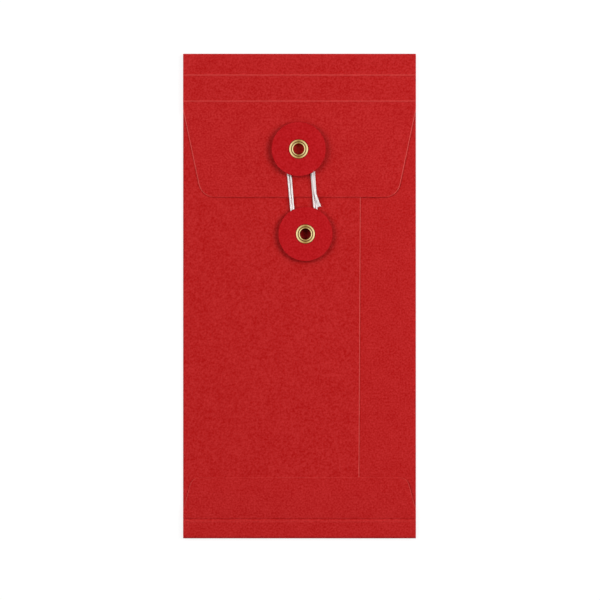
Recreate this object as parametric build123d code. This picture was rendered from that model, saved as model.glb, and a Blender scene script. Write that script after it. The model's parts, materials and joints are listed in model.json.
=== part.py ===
from build123d import *
import math
import os

# A string tie envelope of folded card, lying on its address side. Sizes are in millimetres.
# X runs across the envelope, Y from the bottom fold to the top fold, Z up out of the back.

# Envelope
envelope_width = 110.0
envelope_height = 229.0
card = 0.3
pocket_gap = 1.0
glue_film = 0.1
flap_gap = 0.4
mouth_drop = 6.5
edge_clearance = 0.05

# Closing flap, measured down from the top fold
first_score_drop = 10.1
second_score_drop = 22.4
flap_drop = 67.8
flap_taper_drop = 26.2
flap_tip_inset = 8.7
flap_corner_radius = 7.5
score_bead_radius = 0.25

# Back panels
seam_inset_top = 25.8
seam_inset_bottom = 26.9
seam_overlap = 15.0
seam_glue_margin = 2.0

# Bottom flap, measured up from the bottom fold
bottom_strip_height = 9.0
bottom_flap_height = 28.9
bottom_taper_height = 13.5
bottom_tip_inset = 4.2
bottom_corner_radius = 4.8
bottom_glue_margin = 4.0

# Washers, eyelets and spacers
flap_eyelet_drop = 45.1
flap_eyelet_x = -0.4
pocket_eyelet_drop = 85.2
pocket_eyelet_x = 2.8
washer_diameter = 25.8
washer_thickness = 0.9
washer_edge_radius = 0.2
eyelet_hole_diameter = 5.15
eyelet_wall = 0.3
flange_diameter = 9.27
flange_height = 0.75
flange_rim = 0.12
crest_share = 0.38
clinch_diameter = 8.0
clinch_thickness = 0.22
clinch_round = 0.15
clinch_relief = 0.5
spacer_diameter = 8.2
running_clearance = 0.05
seat_clearance = 0.02

# String
string_diameter = 0.88
string_pitch = 1.29
loop_radius = 4.95
loop_shift = 0.2
string_clearance = 0.06
tail_lift = 1.06
arc_run_share = 0.45
gap_samples = 500

# The free end's route from the top of the last loop: across, along and above the loops, in millimetres
tail_route = [
    (-6.04, 2.00, 0.00),
    (-3.90, 4.95, 0.50),
    (-0.30, 6.10, 1.00),
    (3.40, 4.95, 1.06),
    (5.62, 1.90, 1.06),
    (5.60, -6.20, 1.02),
    (5.75, -13.50, 0.98),
    (6.10, -20.00, 1.04),
    (6.85, -23.60, 1.00),
    (7.35, -25.60, 0.62),
    (7.65, -27.50, -0.05),
]

# Levels of the stacked card
front_top = card
right_low = front_top + pocket_gap
right_top = right_low + card
left_low = right_top + glue_film
left_top = left_low + card
bottom_low = left_top + glue_film
bottom_top = bottom_low + card
flap_low = left_top + flap_gap
flap_top = flap_low + card

# Levels of the closure
string_radius = string_diameter / 2
string_level = flap_top + string_clearance + string_radius
loop_top = string_level + string_radius
flap_washer_low = loop_top + tail_lift + string_clearance
flap_washer_top = flap_washer_low + washer_thickness
pocket_washer_low = loop_top + string_clearance
pocket_washer_top = pocket_washer_low + washer_thickness

# Outline of the envelope
half_width = envelope_width / 2
half_height = envelope_height / 2
top_radius = flap_top / 2
bottom_radius = bottom_top / 2
left_radius = left_top / 2
right_radius = right_top / 2
top_axis_y = half_height - top_radius
bottom_axis_y = -half_height + bottom_radius
mouth_y = half_height - mouth_drop
crease_y = -half_height + bottom_strip_height
first_score_y = half_height - first_score_drop
second_score_y = half_height - second_score_drop
flap_tip_y = half_height - flap_drop
crease_nose = card / 2
back_low_y = crease_y + crease_nose + edge_clearance
score_edge = score_bead_radius + edge_clearance

# Closure's plan
hole_radius = eyelet_hole_diameter / 2
barrel_radius = hole_radius + eyelet_wall
flange_radius = flange_diameter / 2
clinch_radius = clinch_diameter / 2
card_hole_radius = barrel_radius + running_clearance
washer_hole_radius = barrel_radius + running_clearance
flap_eyelet_at = (flap_eyelet_x, half_height - flap_eyelet_drop)
pocket_eyelet_at = (pocket_eyelet_x, half_height - pocket_eyelet_drop)
tie_radius = barrel_radius + string_clearance + string_radius
outer_loop_radius = loop_radius + string_pitch


def plate(outline, low):
    """One flat panel of card with its underside at a level."""
    return extrude(Pos(0, 0, low) * outline, card)


def outline_of(points):
    """A face inside a closed outline."""
    return make_face(Polyline(*points, close=True))


def rounded(outline, corners, radius):
    """An outline with its corners nearest to the given points rounded."""
    picked = [outline.vertices().sort_by_distance(corner)[0] for corner in corners]
    return fillet(picked, radius)


def bar_along_x(section, y, z, low_x, high_x):
    """A section drawn in Y and Z about a line and pulled along that line."""
    plane = Plane(origin=(low_x, y, z), x_dir=(0, 1, 0), z_dir=(1, 0, 0))
    return extrude(plane * section, high_x - low_x)


def fold(origin, outward, along, length, radius):
    """A half round bend of card whose outer face has a radius about the fold's own line."""
    half_plane = Rectangle(radius, 2 * radius, align=(Align.MIN, Align.CENTER))
    section = (Circle(radius) - Circle(radius - card)) & half_plane
    return extrude(Plane(origin=origin, x_dir=outward, z_dir=along) * section, length)


def hole_at(place):
    """The hole in a panel for an eyelet's barrel."""
    return Pos(*place) * Circle(card_hole_radius)


def relief_at(place):
    """The room round an eyelet's clinch, kept free of the layers that lie beside it."""
    return Pos(*place) * Circle(clinch_radius + clinch_relief)


# Pocket front, its folds and the strip below the bottom crease
def front_panel():
    """The address side, as wide as the envelope where no side fold starts from it."""
    left_x = -half_width + left_radius
    right_x = half_width - right_radius
    points = [
        (-half_width, bottom_axis_y),
        (half_width, bottom_axis_y),
        (half_width, crease_y),
        (right_x, crease_y),
        (right_x, mouth_y),
        (half_width, mouth_y),
        (half_width, top_axis_y),
        (-half_width, top_axis_y),
        (-half_width, mouth_y),
        (left_x, mouth_y),
        (left_x, crease_y),
        (-half_width, crease_y),
    ]
    return plate(outline_of(points), 0)


def side_fold(side, radius):
    """A long side's bend, from the bottom crease to the mouth."""
    origin = (side * (half_width - radius), back_low_y, radius)
    return fold(origin, (side, 0, 0), (0, 1, 0), mouth_y - back_low_y, radius)


def end_fold(side, axis_y, radius):
    """The bend across the top or the bottom of the envelope."""
    origin = (-half_width, axis_y, radius)
    return fold(origin, (0, side, 0), (1, 0, 0), envelope_width, radius)


def bottom_strip():
    """The strip above the bottom fold, with a rounded nose on the crease's line."""
    middle = bottom_low + card / 2
    start = bottom_axis_y - crease_y
    edge = Polyline((0, crease_nose), (start, crease_nose), (start, -crease_nose), (0, -crease_nose))
    nose = ThreePointArc((0, -crease_nose), (crease_nose, 0), (0, crease_nose))
    section = make_face([*edge.edges(), *nose.edges()])
    return bar_along_x(section, crease_y, middle, -half_width, half_width)


# Pocket back
def left_back_panel():
    """The wide back panel, whose slanted free edge lies over the seam."""
    left_x = -half_width + left_radius + edge_clearance
    points = [
        (left_x, back_low_y),
        (half_width - seam_inset_bottom, back_low_y),
        (half_width - seam_inset_top, mouth_y),
        (left_x, mouth_y),
    ]
    return plate(outline_of(points) - hole_at(pocket_eyelet_at), left_low)


def right_back_panel():
    """The narrow back panel, which runs on under the seam and stops short of the pocket eyelet."""
    right_x = half_width - right_radius - edge_clearance
    points = [
        (right_x, back_low_y),
        (right_x, mouth_y),
        (half_width - seam_inset_top - seam_overlap, mouth_y),
        (half_width - seam_inset_bottom - seam_overlap, back_low_y),
    ]
    return plate(outline_of(points) - relief_at(pocket_eyelet_at), right_low)


def seam_glue():
    """The glue film between the two back panels."""
    points = [
        (half_width - seam_inset_bottom - seam_glue_margin, back_low_y + seam_glue_margin),
        (half_width - seam_inset_top - seam_glue_margin, mouth_y - seam_glue_margin),
        (half_width - seam_inset_top - seam_overlap + seam_glue_margin, mouth_y - seam_glue_margin),
        (half_width - seam_inset_bottom - seam_overlap + seam_glue_margin, back_low_y + seam_glue_margin),
    ]
    film = outline_of(points) - relief_at(pocket_eyelet_at)
    return extrude(Pos(0, 0, right_top) * film, glue_film)


def bottom_flap():
    """The flap folded up over both back panels, tapered and with rounded corners."""
    taper_y = -half_height + bottom_taper_height
    tip_y = -half_height + bottom_flap_height
    tip_x = half_width - bottom_tip_inset
    points = [
        (-half_width, back_low_y),
        (half_width, back_low_y),
        (half_width, taper_y),
        (tip_x, tip_y),
        (-tip_x, tip_y),
        (-half_width, taper_y),
    ]
    outline = rounded(outline_of(points), [(tip_x, tip_y), (-tip_x, tip_y)], bottom_corner_radius)
    return plate(outline, bottom_low)


def bottom_glue():
    """The glue under the bottom flap: a film on the wide panel and a bead on the narrow one."""
    low_y = crease_y + bottom_glue_margin
    height = bottom_flap_height - bottom_strip_height - 2 * bottom_glue_margin
    seam_x = half_width - seam_inset_bottom
    left_x = -half_width + bottom_tip_inset + bottom_glue_margin
    right_x = half_width - bottom_tip_inset - bottom_glue_margin
    film_end = seam_x - seam_glue_margin
    bead_start = seam_x + seam_glue_margin
    corner = (Align.MIN, Align.MIN)
    film = Pos(left_x, low_y, left_top) * Rectangle(film_end - left_x, height, align=corner)
    bead = Pos(bead_start, low_y, right_top) * Rectangle(right_x - bead_start, height, align=corner)
    return [extrude(film, bottom_low - left_top), extrude(bead, bottom_low - right_top)]


# Closing flap
def flap_strip(high_y, score_y):
    """A strip of the flap that ends in the round bead of a score."""
    middle = flap_low + card / 2
    depth = high_y - score_y
    section = Rectangle(depth, card, align=(Align.MIN, Align.CENTER)) + Circle(score_bead_radius)
    return bar_along_x(section, score_y, middle, -half_width, half_width)


def closing_flap():
    """The tapered end of the flap, with rounded corners and the eyelet's hole."""
    high_y = second_score_y - score_edge
    taper_y = half_height - flap_taper_drop
    tip_x = half_width - flap_tip_inset
    points = [
        (-half_width, high_y),
        (-half_width, taper_y),
        (-tip_x, flap_tip_y),
        (tip_x, flap_tip_y),
        (half_width, taper_y),
        (half_width, high_y),
    ]
    outline = rounded(outline_of(points), [(-tip_x, flap_tip_y), (tip_x, flap_tip_y)], flap_corner_radius)
    return plate(outline - hole_at(flap_eyelet_at), flap_low)


# Washers, spacers and eyelets
def washer(place, low):
    """A pressed board disc that turns on its eyelet."""
    disc = extrude(Circle(washer_diameter / 2) - Circle(washer_hole_radius), washer_thickness)
    rims = disc.edges().filter_by(GeomType.CIRCLE).group_by(SortBy.RADIUS)[-1]
    return Pos(*place, low) * fillet(rims, washer_edge_radius)


def spacer(place, low, high):
    """A small board washer that holds the disc off the card, so that the string has room."""
    ring = Circle(spacer_diameter / 2) - Circle(washer_hole_radius)
    return Pos(*place, low) * extrude(ring, high - low)


def eyelet(place, card_low, washer_top):
    """A rolled brass eyelet: a domed flange, a plain barrel and a clinch under the card."""
    crest_radius = hole_radius + crest_share * (flange_radius - hole_radius)
    flange_low = washer_top + running_clearance
    crest = (crest_radius, flange_low + flange_height)
    rim = (flange_radius, flange_low + flange_rim)
    lip = (hole_radius, flange_low + flange_height - (crest_radius - hole_radius))
    clinch_top = card_low - seat_clearance
    clinch_low = clinch_top - clinch_thickness
    outside = Polyline(
        rim,
        (flange_radius, flange_low),
        (barrel_radius, flange_low),
        (barrel_radius, clinch_top),
        (clinch_radius, clinch_top),
        (clinch_radius, clinch_low),
        (hole_radius + clinch_round, clinch_low),
    )
    turn = TangentArc(
        (hole_radius + clinch_round, clinch_low), (hole_radius, clinch_low + clinch_round), tangent=(-1, 0)
    )
    bore = Line((hole_radius, clinch_low + clinch_round), lip)
    outer_roll = TangentArc(crest, rim, tangent=(1, 0))
    inner_roll = TangentArc(crest, lip, tangent=(-1, 0))
    edges = [*outside.edges(), *turn.edges(), *bore.edges(), *outer_roll.edges(), *inner_roll.edges()]
    return Pos(*place, 0) * revolve(Plane.XZ * make_face(edges), Axis.Z)


# String
def string_plane():
    """The plane that the loops lie in: across the pair of eyelets and along their centre line."""
    upper = Vector(*flap_eyelet_at)
    along = (upper - Vector(*pocket_eyelet_at)).normalized()
    across = Vector(along.Y, -along.X, 0)
    return Plane(origin=(upper.X, upper.Y, string_level), x_dir=across, z_dir=(0, 0, 1))


def half_turn(start_x, end_x, y, side):
    """A half circle between two parallel runs, bulging to one side along the centre line."""
    radius = abs(end_x - start_x) / 2
    middle = (start_x + end_x) / 2
    return ThreePointArc((start_x, y), (middle, y + side * radius), (end_x, y))


def winding_path():
    """The tie turn round the flap eyelet's barrel, then two loops drawn to the right round both eyelets."""
    span = (Vector(*flap_eyelet_at) - Vector(*pocket_eyelet_at)).length
    pieces = [
        Line((tie_radius, string_diameter), (tie_radius, 0)),
        half_turn(tie_radius, -tie_radius, 0, -1),
    ]
    left_x = -tie_radius
    for radius in (loop_radius, outer_loop_radius):
        start_x = left_x
        left_x = loop_shift - radius
        right_x = loop_shift + radius
        pieces += [
            half_turn(start_x, right_x, 0, 1),
            Line((right_x, 0), (right_x, -span)),
            half_turn(right_x, left_x, -span, -1),
            Line((left_x, -span), (left_x, 0)),
        ]
    edges = [edge for piece in pieces for edge in piece.edges()]
    return string_plane() * Wire(edges)


def tail_path():
    """The free end: over the loops at the top and down to the flap's edge."""
    plane = string_plane()
    start = (loop_shift - outer_loop_radius, 0, 0)
    points = [Vector(plane.from_local_coords(point)) for point in [start, *tail_route]]
    radii = []
    for before, here, after in zip(points, points[1:], points[2:]):
        turn = math.radians((here - before).get_angle(after - here))
        run = min((here - before).length, (after - here).length)
        radii.append(arc_run_share * run / math.tan(turn / 2))
    print("tail radii, mm:", [round(radius, 2) for radius in radii])
    return Wire(FilletPolyline(*points, radius=radii).edges())


def tube(path):
    """The string's round section swept along a path."""
    section = Plane(origin=path @ 0, z_dir=path % 0) * Circle(string_radius)
    return sweep(section, path)


def least_gap(path):
    """The least distance between two stretches of a path that are a turn apart, less the string."""
    points = [path @ (index / gap_samples) for index in range(gap_samples + 1)]
    step = path.length / gap_samples
    apart = math.ceil(math.pi * tie_radius / step)
    nearest = min(
        (points[first] - points[second]).length
        for first in range(len(points))
        for second in range(first + apart, len(points))
    )
    return nearest - string_diameter


def report_string(name, path, solid):
    """Prints a string's length, its volume against section times length, and its least gap to itself."""
    expected = math.pi * string_radius**2 * path.length
    print(f"{name}: length {path.length:.1f} mm, volume share {solid.volume / expected:.4f}")
    print(f"{name}: least gap to itself {least_gap(path):.2f} mm")


def save(name, solids):
    """Writes one node."""
    shape = Compound(children=list(solids)) if isinstance(solids, list) else solids
    export_step(shape, os.path.join("parts", name + ".step"))


os.makedirs("parts", exist_ok=True)

winding_line = winding_path()
tail_line = tail_path()
string_winding = tube(winding_line)
string_tail = tube(tail_line)
report_string("string_winding", winding_line, string_winding)
report_string("string_tail", tail_line, string_tail)
print(f"string length {winding_line.length + tail_line.length:.1f} mm")

nodes = {
    "front_panel": front_panel(),
    "left_fold": side_fold(-1, left_radius),
    "right_fold": side_fold(1, right_radius),
    "top_fold": end_fold(1, top_axis_y, top_radius),
    "bottom_fold": end_fold(-1, bottom_axis_y, bottom_radius),
    "bottom_strip": bottom_strip(),
    "left_back_panel": left_back_panel(),
    "right_back_panel": right_back_panel(),
    "seam_glue": seam_glue(),
    "bottom_flap": bottom_flap(),
    "bottom_glue": bottom_glue(),
    "first_flap_strip": flap_strip(top_axis_y - edge_clearance, first_score_y),
    "second_flap_strip": flap_strip(first_score_y - score_edge, second_score_y),
    "closing_flap": closing_flap(),
    "flap_washer": washer(flap_eyelet_at, flap_washer_low),
    "pocket_washer": washer(pocket_eyelet_at, pocket_washer_low),
    "flap_eyelet": eyelet(flap_eyelet_at, flap_low, flap_washer_top),
    "pocket_eyelet": eyelet(pocket_eyelet_at, left_low, pocket_washer_top),
    "flap_spacer": spacer(flap_eyelet_at, loop_top + string_clearance, flap_washer_low - running_clearance),
    "pocket_spacer": spacer(pocket_eyelet_at, left_top, pocket_washer_low - running_clearance),
    "string_winding": string_winding,
    "string_tail": string_tail,
}
for node_name, node_solids in nodes.items():
    save(node_name, node_solids)
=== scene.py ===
"""A string tie envelope of red card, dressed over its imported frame. Sizes are in metres."""

from __future__ import annotations

import json
import logging
import math
from dataclasses import dataclass
from enum import Enum
from functools import partial
from typing import Any, Callable, Iterator, Optional, Sequence

import bmesh
import bpy
from mathutils import Matrix, Vector
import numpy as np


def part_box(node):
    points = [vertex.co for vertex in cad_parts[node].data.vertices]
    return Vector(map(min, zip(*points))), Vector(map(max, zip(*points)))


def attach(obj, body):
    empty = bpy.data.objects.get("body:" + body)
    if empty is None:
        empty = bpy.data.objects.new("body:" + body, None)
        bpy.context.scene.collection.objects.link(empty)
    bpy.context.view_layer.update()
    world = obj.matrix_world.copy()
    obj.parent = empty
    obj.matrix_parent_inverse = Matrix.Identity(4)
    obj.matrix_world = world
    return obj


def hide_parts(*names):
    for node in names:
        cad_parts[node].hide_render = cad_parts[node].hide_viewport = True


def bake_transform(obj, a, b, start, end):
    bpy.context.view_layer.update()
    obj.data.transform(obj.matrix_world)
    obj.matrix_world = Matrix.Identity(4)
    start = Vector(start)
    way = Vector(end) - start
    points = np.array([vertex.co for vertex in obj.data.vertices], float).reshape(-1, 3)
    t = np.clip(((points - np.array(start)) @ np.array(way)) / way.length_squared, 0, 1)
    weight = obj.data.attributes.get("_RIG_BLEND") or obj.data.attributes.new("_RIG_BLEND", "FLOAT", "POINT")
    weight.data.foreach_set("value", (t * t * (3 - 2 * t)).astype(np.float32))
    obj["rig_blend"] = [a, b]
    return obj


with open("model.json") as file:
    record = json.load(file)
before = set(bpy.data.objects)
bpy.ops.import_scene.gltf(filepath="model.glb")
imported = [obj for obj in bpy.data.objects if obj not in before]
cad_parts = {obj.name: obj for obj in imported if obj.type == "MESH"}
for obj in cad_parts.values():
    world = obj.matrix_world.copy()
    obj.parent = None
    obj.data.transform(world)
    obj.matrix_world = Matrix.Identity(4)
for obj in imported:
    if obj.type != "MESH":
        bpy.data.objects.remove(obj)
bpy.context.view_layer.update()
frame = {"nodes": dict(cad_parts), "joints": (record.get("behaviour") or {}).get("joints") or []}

LOG = logging.getLogger("string_tie_envelope")
MM = 0.001
JOINT_AT = {joint["name"]: joint["pos_m"] for joint in frame["joints"]}
CARD_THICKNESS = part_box("front_panel")[1].z
BARREL_RADIUS = 0.002875
BARREL_CLEARANCE = 0.00005

# How close two points are one, an edge lies on a line, and a cut runs through a point
SAME_POINT = 1e-7
ON_LINE = 1e-6
ON_CUT = 1e-8
# A corner whose turn is smaller is straight, and a sharper angle between faces stays crisp
STRAIGHT = 1e-4
CRISP = math.radians(40)
# How closely a flat face looks along the pull
FLAT = 0.999

# Sockets that share a name with others, by number: those of Mix, then those of Random Value
FACTOR, FROM_VALUE, TO_VALUE, FROM_COLOUR, TO_COLOUR = 0, 2, 3, 6, 7
LEAST_VECTOR, MOST_VECTOR, LEAST, MOST = 0, 1, 2, 3

Box = tuple[Vector, Vector]
Loop = list[Vector]
Values = dict[Any, Any]
Adder = Callable[..., bpy.types.Node]
Bend = Callable[[Vector], Vector]
# A share at each point, from 0 to 1, of edge wear and painted light
WearAndPaintedLight = Callable[[Vector], float]


def linear(code: str) -> tuple[float, float, float, float]:
    """Turns an sRGB hex colour to linear light.

    Args:
        code: The colour, such as "#BB2425".

    Returns:
        Red, green, blue and alpha.
    """
    parts = [int(code[start : start + 2], 16) / 255 for start in (1, 3, 5)]
    light = [part / 12.92 if part <= 0.04045 else ((part + 0.055) / 1.055) ** 2.4 for part in parts]
    return (light[0], light[1], light[2], 1.0)


def add_node(
    tree: bpy.types.NodeTree, kind: str, inputs: Optional[Values] = None, **settings: Any
) -> bpy.types.Node:
    """Adds a node with its settings, and links or sets its inputs.

    Args:
        tree: The node tree that gets the node.
        kind: Blender's name for the kind of node.
        inputs: By the input's name or number: a value, an output, or a node for its first output in use.
        settings: The node's own settings.

    Returns:
        The new node.
    """
    node = tree.nodes.new(kind)
    for name, value in settings.items():
        setattr(node, name, value)
    for key, value in (inputs or {}).items():
        if isinstance(value, bpy.types.Node):
            value = next(output for output in value.outputs if output.enabled)
        if isinstance(value, bpy.types.NodeSocket):
            tree.links.new(value, node.inputs[key])
        else:
            node.inputs[key].default_value = value
    return node


def new_material(name: str) -> tuple[bpy.types.Material, Adder]:
    """Starts an empty node material.

    Args:
        name: The material's common name.

    Returns:
        The material, and the function that adds a node to it.
    """
    material = bpy.data.materials.new(name)
    material.use_nodes = True
    material.node_tree.nodes.clear()
    return material, partial(add_node, material.node_tree)


@dataclass(frozen=True)
class PaperFinish:
    """A matt sheet of fibres: a fine grain, cloudy dye, and a third colour for worn edges and painted light.
    """

    name: str
    dark: str
    light: str
    # The third colour, laid on by the per-point share: on card paler broken fibres with painted highlight,
    # on the washer board painted shade
    worn: str
    grain_mm: float
    cloud_mm: float
    relief_mm: float
    roughness: float = 0.86
    specular: float = 0.15
    grain_detail: float = 1.0
    cloud_detail: float = 2.0
    cloud_share: float = 0.2
    thin_dye: float = 0.3
    full_dye: float = 0.7

    def material(self) -> bpy.types.Material:
        """Builds the node material.

        Returns:
            The finished material.
        """
        material, add = new_material(self.name)
        place = add("ShaderNodeTexCoord").outputs["Object"]
        grain, cloud = (
            add("ShaderNodeTexNoise", {"Vector": place, "Scale": 1 / (size * MM), "Detail": detail})
            for size, detail in ((self.grain_mm, self.grain_detail), (self.cloud_mm, self.cloud_detail))
        )
        both = {FACTOR: self.cloud_share, FROM_VALUE: grain, TO_VALUE: cloud}
        dye = {"Value": add("ShaderNodeMix", both, data_type="FLOAT")}
        depth = add("ShaderNodeMapRange", {**dye, "From Min": self.thin_dye, "From Max": self.full_dye})
        shades = {FACTOR: depth, FROM_COLOUR: linear(self.dark), TO_COLOUR: linear(self.light)}
        dyed = add("ShaderNodeMix", shades, data_type="RGBA")
        # Lays the third colour on by the per-point share of edge wear and painted light
        worn = add("ShaderNodeAttribute", attribute_name="worn").outputs["Fac"]
        wear_and_light_mix = {FACTOR: worn, FROM_COLOUR: dyed, TO_COLOUR: linear(self.worn)}
        relief = {"Height": grain, "Distance": self.relief_mm * MM, "Strength": 1.0}
        shader = add(
            "ShaderNodeBsdfPrincipled",
            {
                "Base Color": add("ShaderNodeMix", wear_and_light_mix, data_type="RGBA"),
                "Normal": add("ShaderNodeBump", relief),
                "Roughness": self.roughness,
                "Specular IOR Level": self.specular,
            },
        )
        add("ShaderNodeOutputMaterial", {"Surface": shader})
        return material


@dataclass(frozen=True)
class BrassFinish:
    """Bright rolled brass: a clear reflection, a little uneven from the press, and painted shade laid on per
    point.
    """

    name: str = "rolled_brass"
    bright: str = "#EED8A2"
    tarnished: str = "#C9AD74"
    # Painted shade: a near black laid on deep in the pocket eyelet's bore and at the foot of each flange's
    # rim
    painted_shade: str = "#1E1712"
    patch_mm: float = 0.9
    patch_detail: float = 3.0
    smooth_roughness: float = 0.112
    rough_roughness: float = 0.224

    def material(self) -> bpy.types.Material:
        """Builds the node material.

        Returns:
            The finished material.
        """
        material, add = new_material(self.name)
        place = add("ShaderNodeTexCoord").outputs["Object"]
        size = 1 / (self.patch_mm * MM)
        patch = add("ShaderNodeTexNoise", {"Vector": place, "Scale": size, "Detail": self.patch_detail})
        shades = {FACTOR: patch, FROM_COLOUR: linear(self.bright), TO_COLOUR: linear(self.tarnished)}
        metal = add("ShaderNodeMix", shades, data_type="RGBA")
        # The per-point share darkens the brass with painted shade
        worn = add("ShaderNodeAttribute", attribute_name="worn").outputs["Fac"]
        painted_shading = {FACTOR: worn, FROM_COLOUR: metal, TO_COLOUR: linear(self.painted_shade)}
        gloss = {"Value": patch, "To Min": self.smooth_roughness, "To Max": self.rough_roughness}
        shader = add(
            "ShaderNodeBsdfPrincipled",
            {
                "Base Color": add("ShaderNodeMix", painted_shading, data_type="RGBA"),
                "Roughness": add("ShaderNodeMapRange", gloss),
                "Metallic": 1.0,
            },
        )
        add("ShaderNodeOutputMaterial", {"Surface": shader})
        return material


@dataclass(frozen=True)
class CottonFinish:
    """Bleached cotton yarn: matt white with a soft sheen. Its fibres are drawn coarse enough to show."""

    name: str = "bleached_cotton_yarn"
    light: str = "#FFFBFA"
    dark: str = "#FAEFEE"
    fibre_mm: float = 0.12
    fibre_detail: float = 4.0
    relief_mm: float = 0.02
    roughness: float = 0.9
    specular: float = 0.2
    sheen: float = 0.4

    def material(self) -> bpy.types.Material:
        """Builds the node material.

        Returns:
            The finished material.
        """
        material, add = new_material(self.name)
        place = add("ShaderNodeTexCoord").outputs["Object"]
        size = 1 / (self.fibre_mm * MM)
        fibre = add("ShaderNodeTexNoise", {"Vector": place, "Scale": size, "Detail": self.fibre_detail})
        shades = {FACTOR: fibre, FROM_COLOUR: linear(self.light), TO_COLOUR: linear(self.dark)}
        relief = {"Height": fibre, "Distance": self.relief_mm * MM, "Strength": 1.0}
        shader = add(
            "ShaderNodeBsdfPrincipled",
            {
                "Base Color": add("ShaderNodeMix", shades, data_type="RGBA"),
                "Normal": add("ShaderNodeBump", relief),
                "Roughness": self.roughness,
                "Specular IOR Level": self.specular,
                "Sheen Weight": self.sheen,
            },
        )
        add("ShaderNodeOutputMaterial", {"Surface": shader})
        return material


# Card dyed in the pulp: matt and mottled, with paler broken fibres along its cut edges, and painted
# highlight on the edges that face sideways, on the scored ridges and below the bottom crease
CARD = PaperFinish("dyed_uncoated_card", "#AB1010", "#C02B2B", "#D6544F", 0.83, 6.0, 0.02).material()
# Board faced with dyed paper: an even red, with painted shade along the cut edge for the dark shadow line at
# the disc's rim
BOARD = PaperFinish("paper_faced_washer_board", "#AA0A10", "#BC1E24", "#6E0508", 0.9, 4.0, 0.025).material()
# Dried paper glue: a pale film with a little shine
GLUE = PaperFinish("dried_paper_glue", "#C9BFA6", "#DDD4BE", "#E4DDCB", 1.5, 6.0, 0.02, 0.45).material()
BRASS = BrassFinish().material()
COTTON = CottonFinish().material()


class Along(Enum):
    """The axis that an outline is pulled along to make a solid."""

    X = 0
    Y = 1
    Z = 2

    def place(self, first: float, second: float, depth: float) -> Vector:
        """Puts a point of an outline, at a depth, into the frame."""
        spot = [first, second]
        return Vector(spot[: self.value] + [depth] + spot[self.value :])


@dataclass(frozen=True)
class Butt:
    """A straight edge of an outline that meets another piece, so that it isn't rounded."""

    axis: int
    value: float

    def holds(self, start: Vector, end: Vector) -> bool:
        """Whether an edge lies on this line."""
        return all(abs(point[self.axis] - self.value) < ON_LINE for point in (start, end))


def arc(centre: Sequence[float], radius: float, start: float, end: float, count: int) -> Loop:
    """Points along an arc.

    Args:
        centre: The arc's middle.
        radius: Its radius.
        start: Its first angle, in degrees.
        end: Its last angle, in degrees.
        count: The number of steps.

    Returns:
        count + 1 points.
    """
    angles = [math.radians(start + (end - start) * step / count) for step in range(count + 1)]
    return [Vector((centre[0] + radius * math.cos(a), centre[1] + radius * math.sin(a))) for a in angles]


def rounded_outline(corners: Sequence[tuple[float, float, float]], count: int = 10) -> Loop:
    """A closed outline whose corners are rounded by a radius each.

    Args:
        corners: Across, up and radius of each corner, anticlockwise.
        count: The number of steps in a rounded corner.

    Returns:
        The outline's points.
    """
    points: Loop = []
    for index, (across, up, radius) in enumerate(corners):
        here = Vector((across, up))
        if radius == 0:
            points.append(here)
            continue
        back = (Vector(corners[index - 1][:2]) - here).normalized()
        ahead = (Vector(corners[(index + 1) % len(corners)][:2]) - here).normalized()
        half = back.angle(ahead) / 2
        middle = here + (back + ahead).normalized() * (radius / math.sin(half))
        first = here + back * (radius / math.tan(half))
        last = here + ahead * (radius / math.tan(half))
        low = math.degrees(math.atan2(first.y - middle.y, first.x - middle.x))
        high = math.degrees(math.atan2(last.y - middle.y, last.x - middle.x))
        points += arc(middle, radius, low, high + 360 if high < low else high, count)
    return points


def ribbon(line: Loop, thickness: float) -> Loop:
    """The closed section of a sheet that follows a line.

    Args:
        line: The sheet's middle line.
        thickness: The sheet's thickness.

    Returns:
        One side of the section, then the other side back.
    """
    sides: tuple[Loop, Loop] = ([], [])
    for index, here in enumerate(line):
        back = (here - line[index - 1]).normalized() if index else None
        ahead = (line[index + 1] - here).normalized() if index + 1 < len(line) else None
        run = ((back or ahead) + (ahead or back)).normalized()
        reach = thickness / 2 / run.dot(ahead or back)
        across = Vector((-run.y, run.x)) * reach
        sides[0].append(here - across)
        sides[1].append(here + across)
    return sides[0] + sides[1][::-1]


def inset_loop(loop: Loop, distance: float, butts: Sequence[Butt]) -> Loop:
    """An outline drawn in by a distance, apart from the edges that meet another piece.

    Args:
        loop: The outline.
        distance: How far it is drawn in.
        butts: The lines whose edges stay.

    Returns:
        As many points as the outline has.
    """
    normals = []
    gaps = []
    for index, here in enumerate(loop):
        after = loop[(index + 1) % len(loop)]
        run = (after - here).normalized()
        normals.append(Vector((run.y, -run.x)))
        gaps.append(0.0 if any(butt.holds(here, after) for butt in butts) else distance)
    points = []
    for index, here in enumerate(loop):
        before, after = normals[index - 1], normals[index]
        turn = before.x * after.y - before.y * after.x
        if abs(turn) < STRAIGHT:
            points.append(here - after * gaps[index])
            continue
        across = (gaps[index - 1] * after.y - gaps[index] * before.y) / turn
        up = (gaps[index] * before.x - gaps[index - 1] * after.x) / turn
        points.append(here - Vector((across, up)))
    return points


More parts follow.
